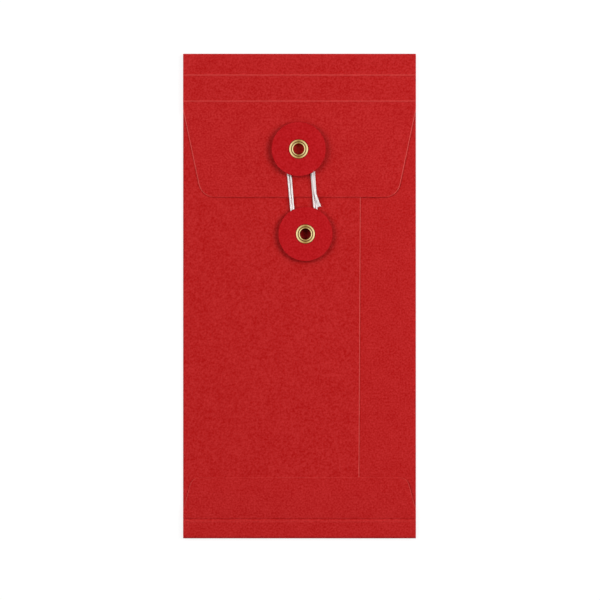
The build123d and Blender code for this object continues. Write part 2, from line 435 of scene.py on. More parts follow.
@dataclass
class CardPiece:
    """A sheet of card with rounded cut edges that stands for a node: an outline pulled through its box."""

    node: str
    loops: list[Loop]
    along: Along = Along.Z
    part: str = "card"
    rim: float = 0.00024
    rim_depth: float = 0.00012
    # How pale the cut edges get: broken fibres, with painted highlight added most where an edge faces
    # sideways; the next share is what edges that face the ends get
    rub_and_highlight: float = 0.9
    end_rub: float = 0.12
    face_fade_share: float = 1.6
    side_fade_share: float = 1.5
    butts: Sequence[Butt] = ()
    cuts: Sequence[tuple[int, float]] = ()
    material: bpy.types.Material = CARD

    RIM_ANGLES = (0, 30, 60, 90)

    def __post_init__(self) -> None:
        """Reads where the pull starts and ends from the node's box."""
        self.low, self.high = (corner[self.along.value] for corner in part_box(self.node))

    def butted(self, start: Vector, end: Vector) -> bool:
        """Whether an edge of the outline meets another piece."""
        return any(butt.holds(start, end) for butt in self.butts)

    def rubbed_and_side_lit(self, loop: Loop, index: int) -> float:
        """How pale the edge is at a point of an outline: broken fibres, with painted highlight most where it
        faces sideways.

        Args:
            loop: The outline.
            index: The point's number.

        Returns:
            A share from 0 to 1.
        """
        before, here, after = loop[index - 1], loop[index], loop[(index + 1) % len(loop)]
        if self.butted(before, here) and self.butted(here, after):
            return 0.0
        return self.end_rub + (1 - self.end_rub) * abs((after - before).normalized().y)

    def rim_steps(self) -> list[tuple[float, float, float]]:
        """How far each ring round the edge is drawn in, its level and its share of edge wear and painted
        highlight.

        Returns:
            Inset, level, and share of edge wear and painted highlight of each ring, from the low face to the
            high one.
        """
        sheet = self.along is Along.Z
        across, deep = (self.rim, self.rim_depth) if sheet else (self.rim_depth, self.rim)
        lower = [(self.face_fade_share * across, self.low, 0.0)] if sheet else []
        for turn in map(math.radians, self.RIM_ANGLES):
            lower.append((across * (1 - math.sin(turn)), self.low + deep * (1 - math.cos(turn)), 1.0))
        if not sheet:
            lower.append((0.0, self.low + self.side_fade_share * deep, 0.0))
        upper = [(inset, self.low + self.high - level, wear_and_highlight) for inset, level, wear_and_highlight in reversed(lower)]
        return lower + upper

    def edge_faces(self, loop: Loop, rings: list[list]) -> Iterator[tuple]:
        """Lists the faces between the rings of one outline.

        A butted edge of a sheet isn't drawn in, so its two rings on a flat face lie on one line. There
        the side starts at the inner ring, and a triangle at a free end takes in the outer one.

        Args:
            loop: The outline.
            rings: The points of its rings, from the low face to the high one.

        Yields:
            The corners of a face.
        """
        count = len(loop)
        last = len(rings) - 2
        sheet = self.along is Along.Z
        flush = [sheet and self.butted(loop[index - 1], loop[index]) for index in range(count)]
        inner_sides = {1: (rings[1], rings[2], rings[0]), last - 1: (rings[-2], rings[-3], rings[-1])}
        for place, (lower, upper) in enumerate(zip(rings, rings[1:])):
            for index in range(count):
                if not flush[index] or 1 < place < last - 1:
                    yield lower[index - 1], lower[index], upper[index], upper[index - 1]
                elif place in inner_sides:
                    outer, side, inner = inner_sides[place]
                    for end, beyond in ((index - 1, index - 1), (index, (index + 1) % count)):
                        if not flush[beyond]:
                            yield outer[end], inner[end], side[end]
                    yield inner[index - 1], inner[index], side[index], side[index - 1]

    def add_loop(self, shell: bmesh.types.BMesh, loop: Loop) -> list[list]:
        """Adds the edge faces of one outline to a shell.

        Args:
            shell: The mesh in the making.
            loop: The outline, anticlockwise, or clockwise for a hole.

        Returns:
            The edges of the first ring, and those of the last.
        """
        worn = shell.verts.layers.float["worn"]
        rings = []
        for inset, level, wear_and_highlight in self.rim_steps():
            points = inset_loop(loop, inset, self.butts)
            ring = [shell.verts.new(self.along.place(point.x, point.y, level)) for point in points]
            # Each rim point gets paler broken fibres, with painted highlight most where the edge faces
            # sideways
            for index, vertex in enumerate(ring):
                vertex[worn] = wear_and_highlight * self.rub_and_highlight * self.rubbed_and_side_lit(loop, index)
            rings.append(ring)
        for corners in self.edge_faces(loop, rings):
            shell.faces.new(corners)
        ends = (rings[0], rings[-1])
        return [[shell.edges.get(pair) for pair in zip([ring[-1], *ring], ring)] for ring in ends]

    def build(self, bend: Optional[Bend] = None, wear_and_highlight: Optional[WearAndPaintedLight] = None) -> bpy.types.Object:
        """Makes the piece.

        Args:
            bend: Moves each point of the finished sheet.
            wear_and_highlight: Gives the painted highlight at a point, from 0 to 1, besides its cut edges.

        Returns:
            The piece's object, at the origin.
        """
        shell = bmesh.new()
        worn = shell.verts.layers.float.new("worn")
        ends = [self.add_loop(shell, loop) for loop in self.loops]
        for edges in zip(*ends):
            bmesh.ops.triangle_fill(shell, use_beauty=True, edges=sum(edges, []))
        bmesh.ops.remove_doubles(shell, verts=shell.verts, dist=SAME_POINT)
        bmesh.ops.recalc_face_normals(shell, faces=shell.faces)
        for axis, value in self.cuts:
            spot, way = Vector(), Vector()
            spot[axis] = value
            way[axis] = 1
            everything = [*shell.verts, *shell.edges, *shell.faces]
            bmesh.ops.bisect_plane(shell, geom=everything, dist=ON_CUT, plane_co=spot, plane_no=way)
        shade(shell, self.along.place(0, 0, 1))
        for vertex in shell.verts:
            # The extra share is painted highlight, on the scored ridges and below the bottom crease
            if wear_and_highlight:
                vertex[worn] = max(vertex[worn], wear_and_highlight(vertex.co))
            if bend:
                vertex.co = bend(vertex.co)
        return object_of(f"{self.node}_{self.part}", shell, self.material)


def shade(shell: bmesh.types.BMesh, pull: Vector) -> None:
    """Smooths the faces, and keeps sharp turns and the edges of flat faces crisp.

    Args:
        shell: The mesh in the making.
        pull: The way that flat faces look, or a vector of no length where there are none.
    """
    for face in shell.faces:
        face.smooth = True
    for edge in shell.edges:
        if len(edge.link_faces) == 2:
            flat = [abs(face.normal.dot(pull)) > FLAT for face in edge.link_faces]
            edge.smooth = flat[0] == flat[1] and edge.calc_face_angle(0) < CRISP


def add_to_scene(name: str, data: bpy.types.ID) -> bpy.types.Object:
    """Puts a mesh, a lamp or a camera into the scene.

    Args:
        name: The object's name.
        data: What it shows.

    Returns:
        The object, at the origin.
    """
    thing = bpy.data.objects.new(name, data)
    bpy.context.scene.collection.objects.link(thing)
    return thing


def object_of(name: str, shell: bmesh.types.BMesh, material: bpy.types.Material) -> bpy.types.Object:
    """Turns a finished shell to an object in the scene.

    Args:
        name: The piece's name.
        shell: The shell, which is freed.
        material: Its material.

    Returns:
        The object, at the origin.
    """
    mesh = bpy.data.meshes.new(name)
    shell.to_mesh(mesh)
    shell.free()
    mesh.materials.append(material)
    return add_to_scene(name, mesh)


def turned(
    name: str, profile: Loop, node: str, material: bpy.types.Material, shade_at: WearAndPaintedLight, segments: int = 96
) -> bpy.types.Object:
    """A closed profile turned about the upright axis of a node.

    Args:
        name: The piece's name.
        profile: Radius and height of each point, closed, from the node's foot up.
        node: The node that the piece stands for.
        material: The piece's material.
        shade_at: How much painted shade a point of the profile gets, from 0 to 1.
        segments: The number of steps in the turn.

    Returns:
        The piece's object, at the origin.
    """
    middle = middle_of(node)
    foot = Vector((middle.x, middle.y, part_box(node)[0].z))
    shell = bmesh.new()
    worn = shell.verts.layers.float.new("worn")
    rings = []
    for step in range(segments):
        turn = math.tau * step / segments
        ring = []
        for point in profile:
            spot = Vector((point.x * math.cos(turn), point.x * math.sin(turn), point.y))
            vertex = shell.verts.new(foot + spot)
            vertex[worn] = shade_at(point)
            ring.append(vertex)
        rings.append(ring)
    for here, there in zip(rings, rings[1:] + rings[:1]):
        for index in range(len(profile)):
            after = (index + 1) % len(profile)
            shell.faces.new((here[index], there[index], there[after], here[after]))
    bmesh.ops.recalc_face_normals(shell, faces=shell.faces)
    shade(shell, Vector())
    return object_of(name, shell, material)


def stand_for(piece: bpy.types.Object, *nodes: str) -> None:
    """Lets a piece stand for nodes by hiding them."""
    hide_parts(*nodes)


def ride(piece: bpy.types.Object, body: str, node: str) -> None:
    """Lets a piece stand for a node and move with its body.

    Args:
        piece: The finished piece.
        body: The body that carries it.
        node: The node that it stands for.
    """
    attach(piece, body)
    stand_for(piece, node)
    LOG.info("%s rides on %s", piece.name, body)


def bridge(piece: bpy.types.Object, bodies: tuple[str, str], ends: Box, *nodes: str) -> None:
    """Lets a piece stand for nodes and bend between two bodies.

    Args:
        piece: The finished piece.
        bodies: The body that its start follows, and the body that its end follows.
        ends: Where the bend starts and ends.
        nodes: The nodes that it stands for.
    """
    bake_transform(piece, *bodies, start=ends[0], end=ends[1])
    stand_for(piece, *nodes)
    LOG.info("%s bends from %s to %s", piece.name, *bodies)


def middle_of(node: str) -> Vector:
    """The middle of a node's box."""
    low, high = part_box(node)
    return (low + high) / 2


def barrel_hole(eyelet: str, count: int = 48) -> Loop:
    """The hole that an eyelet's barrel goes through, clockwise, with a number of points."""
    return arc(middle_of(eyelet), BARREL_RADIUS + BARREL_CLEARANCE, 360, 0, count)[:-1]


def spaced(start: float, end: float, count: int) -> list[float]:
    """Evenly spaced values between two ends, without the ends."""
    return [start + (end - start) * step / count for step in range(1, count)]


def smooth(share: float) -> float:
    """A share held between 0 and 1, with soft ends."""
    held = min(max(share, 0.0), 1.0)
    return held * held * (3 - 2 * held)


def raised(distance: float, reach: float) -> float:
    """A smooth hump: 1 on its line, and 0 from its reach on."""
    share = min(abs(distance) / reach, 1.0)
    return (1 + math.cos(math.pi * share)) / 2


@dataclass
class Pocket:
    """The pocket: the front panel, its folds, the two back panels, the bottom flap and its glue."""

    crease: float = JOINT_AT["pocket_mouth"][1]
    fold_steps: int = 24
    seam_slant: float = 0.0011
    taper_rise: float = 0.0043
    tip_inset: float = 0.0042
    corner_radius: float = 0.0048
    # How pale the bottom flap's cut edges get: broken fibres and painted highlight
    flap_rub_and_highlight: float = 0.4
    groove_depth: float = 0.00028
    groove_reach: float = 0.0008
    strip_steps: int = 10
    flap_steps: int = 8
    # Painted highlight on the card just below the bottom crease, where the groove's lower wall catches the
    # light
    crease_highlight: float = 0.1
    bulge_start: float = 0.0535
    bulge_end: float = 0.029
    bulge_margin: float = 0.001
    bulge_columns: int = 26
    bulge_rows: int = 16
    glue_wave: float = 0.0006
    glue_ripples: tuple[float, float] = (7.0, 2.3)
    glue_steps: int = 40
    glue_rim: float = 0.00003

    def build(self) -> None:
        """Makes every piece of the pocket."""
        self.front_panel()
        self.folds()
        self.bottom_strip()
        self.back_panels()
        self.bottom_flap()
        self.bottom_glue()

    def bulge_cuts(self, side: int) -> list[tuple[int, float]]:
        """The lines that let the back wall bend: across the bulge and up the panel.

        Args:
            side: -1 for the left side, 1 for the right.

        Returns:
            Axis and value of each line.
        """
        low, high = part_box("left_back_panel")
        inner, outer = self.bulge_end - self.bulge_margin, self.bulge_start + self.bulge_margin
        across = [(0, side * value) for value in spaced(inner, outer, self.bulge_columns)]
        return across + [(1, value) for value in spaced(low.y, high.y, self.bulge_rows)]

    def bulge(self, piece: bpy.types.Object, side: int, node: str) -> None:
        """Lets a piece of the back wall bend out of a side fold.

        Args:
            piece: The finished piece.
            side: -1 for the left side, 1 for the right.
            node: The node that it stands for.
        """
        ends = (Vector((side * self.bulge_start, 0, 0)), Vector((side * self.bulge_end, 0, 0)))
        bridge(piece, ("pocket_front", "pocket_back"), ends, node)

    def front_panel(self) -> None:
        """The address side, with the notches that the side folds start from."""
        low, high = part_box("front_panel")
        left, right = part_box("left_fold")[1].x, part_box("right_fold")[0].x
        start, mouth = (corner.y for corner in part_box("left_fold"))
        corners = ((low.x, low.y), (high.x, low.y), (high.x, start), (right, start))
        corners += ((right, mouth), (high.x, mouth), (high.x, high.y), (low.x, high.y))
        corners += ((low.x, mouth), (left, mouth), (left, start), (low.x, start))
        outline = [Vector(corner) for corner in corners]
        butts = (Butt(0, left), Butt(0, right), Butt(1, low.y), Butt(1, high.y))
        ride(CardPiece("front_panel", [outline], butts=butts).build(), "pocket_front", "front_panel")

    def folds(self) -> None:
        """The half round bends of the two long sides and below the bottom strip."""
        bends = (("left", Along.Y, 1, -180), ("right", Along.Y, 0, 180), ("bottom", Along.X, 1, -180))
        for name, along, corner, turn in bends:
            node = f"{name}_fold"
            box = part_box(node)
            radius = box[1].z / 2
            middle = radius - CARD_THICKNESS / 2
            line = arc((box[corner][1 - along.value], radius), middle, -90, -90 + turn, self.fold_steps)
            piece = CardPiece(node, [ribbon(line, CARD_THICKNESS)], along).build()
            ride(piece, "pocket_front", node)

    def groove(self, distance: float) -> float:
        """How far the card dips beside the bottom crease."""
        return self.groove_depth * raised(distance, self.groove_reach)

    def bottom_strip(self) -> None:
        """The strip between the bottom fold and the crease, which dips into the crease."""
        low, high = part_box("bottom_strip")
        middle = (low.z + high.z) / 2
        edge = self.crease - self.groove_reach
        steps = [low.y, edge - self.groove_reach]
        for step in range(self.strip_steps + 1):
            steps.append(self.crease - self.groove_reach * (1 - step / self.strip_steps))
        line = [Vector((y, middle - self.groove(y - self.crease))) for y in steps]

        def wear_and_highlight(point: Vector) -> float:
            """Painted highlight below the groove, where its lower wall catches the light."""
            return self.crease_highlight * raised(point.y - edge, self.groove_reach) if point.z > middle else 0.0

        piece = CardPiece("bottom_strip", [ribbon(line, high.z - low.z)], Along.X).build(wear_and_highlight=wear_and_highlight)
        ride(piece, "pocket_front", "bottom_strip")

    def back_panels(self) -> None:
        """The wide left panel over the narrow right one."""
        for side, name, holes in ((-1, "left", [barrel_hole("pocket_eyelet")]), (1, "right", [])):
            node = f"{name}_back_panel"
            low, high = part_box(node)
            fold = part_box(f"{name}_fold")[0 if side > 0 else 1].x
            foot, head = (low.x, low.x + self.seam_slant) if side > 0 else (high.x - self.seam_slant, high.x)
            outline = [Vector((x, low.y)) for x in sorted((fold, foot))]
            outline += [Vector((x, high.y)) for x in sorted((fold, head), reverse=True)]
            card = CardPiece(node, [outline, *holes], butts=(Butt(0, fold),), cuts=self.bulge_cuts(side))
            self.bulge(card.build(), side, node)

    def bottom_flap(self) -> None:
        """The flap glued over both back panels, in two halves that meet in the middle."""
        low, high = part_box("bottom_flap")
        reach = self.groove_reach
        dips = [(1, self.crease + reach * step / self.flap_steps) for step in range(1, self.flap_steps + 1)]

        def dip(point: Vector) -> Vector:
            """Lowers the card beside the crease."""
            return point - Vector((0, 0, self.groove(point.y - self.crease)))

        for side, name in ((-1, "left"), (1, "right")):
            corners = [
                (0.0, self.crease, 0.0),
                (side * high.x, self.crease, 0.0),
                (side * high.x, low.y + self.taper_rise, 0.0),
                (side * (high.x - self.tip_inset), high.y, self.corner_radius),
                (0.0, high.y, 0.0),
            ]
            outline = rounded_outline(corners if side > 0 else corners[::-1])
            card = CardPiece("bottom_flap", [outline], part=f"card_{name}", rub_and_highlight=self.flap_rub_and_highlight)
            card.butts = (Butt(0, 0.0), Butt(1, self.crease))
            card.cuts = self.bulge_cuts(side) + dips
            self.bulge(card.build(bend=dip), side, "bottom_flap")

    def bottom_glue(self) -> None:
        """The glue under the bottom flap, with the uneven edge of a squeezed film."""
        low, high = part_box("bottom_glue")
        panel_low, panel_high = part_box("left_back_panel")
        gap = panel_low.y - low.y
        film = (low.x, panel_high.x + gap, panel_high.z, -1, "film")
        bead = (panel_high.x - gap, high.x, low.z, 1, "bead")
        steps = range(self.glue_steps + 1)
        first, second = self.glue_ripples
        waves = [abs(self.glue_wave * math.sin(first * step) * math.sin(second * step)) for step in steps]
        for start, end, level, side, name in (film, bead):
            across = [start + (end - start) * step / self.glue_steps for step in steps]
            lower = [Vector((x, low.y + wave)) for x, wave in zip(across, waves)]
            upper = [Vector((x, high.y - wave)) for x, wave in zip(across, waves[::-1])]
            card = CardPiece("bottom_glue", [lower + upper[::-1]], part=name, material=GLUE)
            card.low = level
            card.rim = card.rim_depth = self.glue_rim
            card.cuts = self.bulge_cuts(side)
            self.bulge(card.build(), side, "bottom_glue")


@dataclass
class ClosingFlap:
    """The closing flap: the bend at the top fold, the two scored strips and the tapered end."""

    fold_steps: int = 28
    still_share: float = 1.2
    ridge_height: float = 0.00013
    ridge_reach: float = 0.0008
    ridge_steps: int = 10
    # Painted highlight along each scored ridge, and how far it reaches
    ridge_highlight: float = 0.42
    ridge_highlight_reach: float = 0.00048
    turn_reach: float = 0.001
    straight_end: float = 0.0007
    taper_drop: float = 0.0035
    tip_inset: float = 0.0087
    corner_radius: float = 0.0075
    droop_start: float = 0.022
    left_droop: float = 0.00034
    right_droop: float = 0.0006
    droop_reach: float = 0.012
    droop_columns: int = 16
    upper_rows: int = 8
    lower_rows: int = 4

    def build(self) -> None:
        """Makes every piece of the flap."""
        fold, first, second = (JOINT_AT[name][1] for name in ("flap_fold", "first_score", "second_score"))
        first_middle = (fold + first) / 2
        second_middle = (first + second) / 2
        taper = second - self.taper_drop
        self.top_fold(first_middle)
        bodies = ("flap_strip_one", "flap_strip_two", "flap")
        self.score(first, "first_flap_strip", bodies[:2], first_middle, second_middle)
        self.score(second, "second_flap_strip", bodies[1:], second_middle, taper)
        self.tapered_end(taper)

    def top_fold(self, end: float) -> None:
        """The half round bend that the flap turns on, and the start of the first strip.

        Args:
            end: Where it meets the first score's piece.
        """
        low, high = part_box("top_fold")
        radius = (high.z - CARD_THICKNESS) / 2
        line = arc((low.y, high.z / 2), radius, -90, 90, self.fold_steps)
        line.append(Vector((end, high.z - CARD_THICKNESS / 2)))
        piece = CardPiece("top_fold", [ribbon(line, CARD_THICKNESS)], Along.X).build()
        still = self.still_share * CARD_THICKNESS
        ends = (Vector((0, low.y, still)), Vector((0, low.y, high.z - still)))
        bridge(piece, ("pocket_front", "flap_strip_one"), ends, "top_fold")

    def score(self, line_y: float, node: str, bodies: tuple[str, str], start: float, end: float) -> None:
        """A scored line: a raised ridge between two strips.

        Args:
            line_y: Where the score is.
            node: The node that the piece stands for.
            bodies: The bodies above and below the score.
            start: Where the piece starts.
            end: Where it stops.
        """
        low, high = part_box("closing_flap")
        middle = (low.z + high.z) / 2
        reach = self.ridge_reach
        steps = [start, line_y + 2 * reach]
        steps += [line_y + reach * (1 - step / self.ridge_steps) for step in range(2 * self.ridge_steps + 1)]
        steps += [line_y - 2 * reach, end]
        line = [Vector((y, middle + self.ridge_height * raised(y - line_y, reach))) for y in steps]

        def wear_and_highlight(point: Vector) -> float:
            """Painted highlight along the ridge's upper face."""
            worn = self.ridge_highlight * raised(point.y - line_y, self.ridge_highlight_reach)
            return worn if point.z > middle else 0.0

        piece = CardPiece(node, [ribbon(line, high.z - low.z)], Along.X).build(wear_and_highlight=wear_and_highlight)
        ends = (Vector((0, line_y + self.turn_reach, 0)), Vector((0, line_y - self.turn_reach, 0)))
        bridge(piece, bodies, ends, node)

    def tapered_end(self, top: float) -> None:
        """The tapered end with rounded corners.

        Args:
            top: Where it meets the second score's piece.
        """
        low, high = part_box("closing_flap")
        tip = high.x - self.tip_inset
        shoulder = top - self.straight_end
        corners = [
            (-tip, low.y, self.corner_radius),
            (tip, low.y, self.corner_radius),
            (high.x, shoulder, 0.0),
            (high.x, top, 0.0),
            (low.x, top, 0.0),
            (low.x, shoulder, 0.0),
        ]
        outlines = [rounded_outline(corners), barrel_hole("flap_eyelet")]
        columns = spaced(self.droop_start, high.x, self.droop_columns)
        bottom = top - self.droop_reach
        rows = spaced(bottom, top, self.upper_rows) + spaced(low.y, bottom, self.lower_rows)
        cuts = [(0, side * value) for value in columns for side in (-1, 1)] + [(1, value) for value in rows]

        def droop(point: Vector) -> Vector:
            """Lets the sides lie down on the back panels.

            Args:
                point: A point of the flat sheet.

            Returns:
                Where it comes to lie.
            """
            out = (abs(point.x) - self.droop_start) / (high.x - self.droop_start)
            down = (top - point.y) / self.droop_reach
            depth = self.left_droop if point.x < 0 else self.right_droop
            return point - Vector((0, 0, depth * smooth(out) * smooth(down)))

        card = CardPiece("closing_flap", outlines, butts=(Butt(1, top),), cuts=cuts)
        ride(card.build(bend=droop), "flap", "closing_flap")


@dataclass
class Eyelet:
    """A washer on its eyelet: the board disc, the spacer under it, the brass and its clinched end."""

    side: str
    body: str
    disc_body: str
    # How dark the bore is painted below the rolled lip: painted shade deep in the hole
    bore_shade: float
    hole_radius: float = 0.002575
    crest_share: float = 0.38
    slope_share: float = 0.22
    crest_round: float = 0.0007
    lip_slope: float = 34.0
    lip_round: float = 0.00008
    lip_reach_share: float = 1.5
    bore_start_share: float = 1.2
    rim_width: float = 0.00026
    rim_foot: float = 0.00008
    rim_rise: float = 0.0004
    # Painted shade at the foot of the flange's rim, for the shadow round the flange, and where it starts
    rim_shade: float = 0.7
    rim_shade_share: float = 0.05
    washer_edge: float = 0.00016
    spacer_edge: float = 0.00008
    # Painted shade towards a board ring's cut edge, for the dark line at the disc's rim
    edge_shade: float = 0.4
    clinch_radius: float = 0.004
    clinch_height: float = 0.00022
    flange_steps: int = 12
    round_steps: int = 6
    fold_steps: int = 5

    RIM_SHARES = (0.0, 0.1, 0.9)
    # Points on a board ring's top face, in edge radii from the rim, that carry its painted edge shade
    EDGE_SHADE_SHARES = (1.25, 1.5, 1.75, 2.0)

    def build(self) -> None:
        """Makes the disc that the string is wound under, the spacer that leaves it room, and the brass."""
        self.board_ring(f"{self.side}_washer", self.washer_edge, self.disc_body)
        self.board_ring(f"{self.side}_spacer", self.spacer_edge, self.body)
        self.brass()

    def board_ring(self, node: str, edge: float, body: str) -> None:
        """A ring of board with rounded edges, with painted shade towards its cut side.

        Args:
            node: The node that it stands for.
            edge: The radius of its edges.
            body: The body that carries it.
        """
        low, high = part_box(node)
        outer = (high.x - low.x) / 2
        tall = high.z - low.z
        edge_shade_reach = self.EDGE_SHADE_SHARES[-1] * edge
        profile = [Vector((BARREL_RADIUS, 0.0))]
        profile += arc((outer - edge, edge), edge, -90, 0, self.round_steps)
        profile += arc((outer - edge, tall - edge), edge, 0, 90, self.round_steps)
        profile += [Vector((outer - share * edge, tall)) for share in self.EDGE_SHADE_SHARES]
        profile.append(Vector((BARREL_RADIUS, tall)))

        def board_shade_at(point: Vector) -> float:
            """Painted shade, darker towards the cut edge."""
            return self.edge_shade * smooth(1 - (outer - point.x) / edge_shade_reach)

        ride(turned(f"{node}_board", profile, node, BOARD, board_shade_at), body, node)

    def brass(self) -> None:
        """The rolled flange, the barrel and the clinched end."""
        node = f"{self.side}_eyelet"
        low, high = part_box(node)
        outer = (high.x - low.x) / 2
        tall = high.z - low.z
        hole = self.hole_radius
        flange_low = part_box(f"{self.side}_washer")[1].z - low.z
        roll = self.crest_share * (outer - hole)
        crest = hole + roll
        shoulder = outer - self.rim_width
        foot = Vector((outer, flange_low + self.rim_foot))
        head = Vector((shoulder, flange_low + self.rim_rise))
        fold = self.clinch_height
        barrel = ((BARREL_RADIUS, fold), (BARREL_RADIUS, flange_low), (outer, flange_low))
        profile = [Vector(point) for point in barrel]
        profile += [foot.lerp(head, share) for share in self.RIM_SHARES]
        for step in range(self.flange_steps, 0, -1):
            share = step / self.flange_steps
            fall = (tall - head.y) * (self.slope_share * share + (1 - self.slope_share) * share * share)
            profile.append(Vector((crest + (shoulder - crest) * share, tall - fall)))
        slope = math.radians(self.lip_slope)
        middle = (crest, tall - self.crest_round)
        profile += arc(middle, self.crest_round, 90, 90 + self.lip_slope, self.round_steps)
        run = roll - self.crest_round * math.sin(slope) - self.lip_round
        lip = tall - self.crest_round * (1 - math.cos(slope)) - run * math.tan(slope)
        profile.append(Vector((hole + self.lip_round, lip)))
        profile.append(Vector((hole, lip - 2 * self.lip_round)))
        profile.append(Vector((hole, tall - self.lip_reach_share * roll)))
        profile += arc((hole + fold, fold), fold, 180, 270, self.fold_steps)
        profile += arc((self.clinch_radius - fold / 2, fold / 2), fold / 2, -90, 90, self.round_steps)
        bore_start = tall - self.bore_start_share * roll

        def brass_shade_at(point: Vector) -> float:
            """Painted shade deep in the bore, below the rolled lip, and at the foot of the rim.

            Args:
                point: A point of the profile.

            Returns:
                A share from 0 to 1.
            """
            if point.x > shoulder + self.rim_shade_share * self.rim_width:
                return self.rim_shade
            return self.bore_shade if point.y < bore_start and point.x < BARREL_RADIUS else 0.0

        ride(turned(f"{node}_brass", profile, node, BRASS, brass_shade_at), self.body, node)


def new_tree(name: str, **inputs: str) -> tuple[bpy.types.NodeTree, Adder, bpy.types.NodeOutputs]:
    """Starts a geometry node tree with named inputs.

    Args:
        name: The tree's name.
        inputs: The kind of each input after the geometry and before the material.

    Returns:
        The tree, the function that adds a node to it, and its inputs.
    """
    tree = bpy.data.node_groups.new(name, "GeometryNodeTree")
    for title, kind in {"Geometry": "Geometry", **inputs, "Material": "Material"}.items():
        tree.interface.new_socket(title, in_out="INPUT", socket_type=f"NodeSocket{kind}")
    tree.interface.new_socket("Geometry", in_out="OUTPUT", socket_type="NodeSocketGeometry")
    add = partial(add_node, tree)
    return tree, add, add("NodeGroupInput").outputs


def grown(name: str, host: bpy.types.Mesh, tree: bpy.types.NodeTree, values: Values) -> bpy.types.Object:
    """Runs a node tree on a mesh and keeps the result as a plain mesh.

    Args:
        name: The piece's name.
        host: The mesh that the tree starts from.
        tree: The geometry node tree.
        values: The tree's inputs, by name.

    Returns:
        The piece's object, at the origin.
    """
    maker = add_to_scene(f"{name}_maker", host)
    modifier = maker.modifiers.new("grow", "NODES")
    modifier.node_group = tree
    for item in tree.interface.items_tree:
        if item.in_out == "INPUT" and item.name in values:
            modifier[item.identifier] = values[item.name]
    graph = bpy.context.evaluated_depsgraph_get()
    made = maker.evaluated_get(graph)
    mesh = bpy.data.meshes.new_from_object(made, preserve_all_data_layers=True, depsgraph=graph)
    mesh.name = name
    bpy.data.objects.remove(maker)
    return add_to_scene(name, mesh)


def finish_tree(add: Adder, geometry: bpy.types.Node, material: bpy.types.NodeSocket) -> None:
    """Ends a geometry node tree: real geometry, smooth, with its material.

    Args:
        add: The function that adds a node to the tree.
        geometry: What the tree made.
        material: The input that holds the material.
    """
    real = add("GeometryNodeRealizeInstances", {"Geometry": geometry})
    soft = add("GeometryNodeSetShadeSmooth", {"Geometry": real})
    dressed = add("GeometryNodeSetMaterial", {"Geometry": soft, "Material": material})
    add("NodeGroupOutput", {"Geometry": dressed})


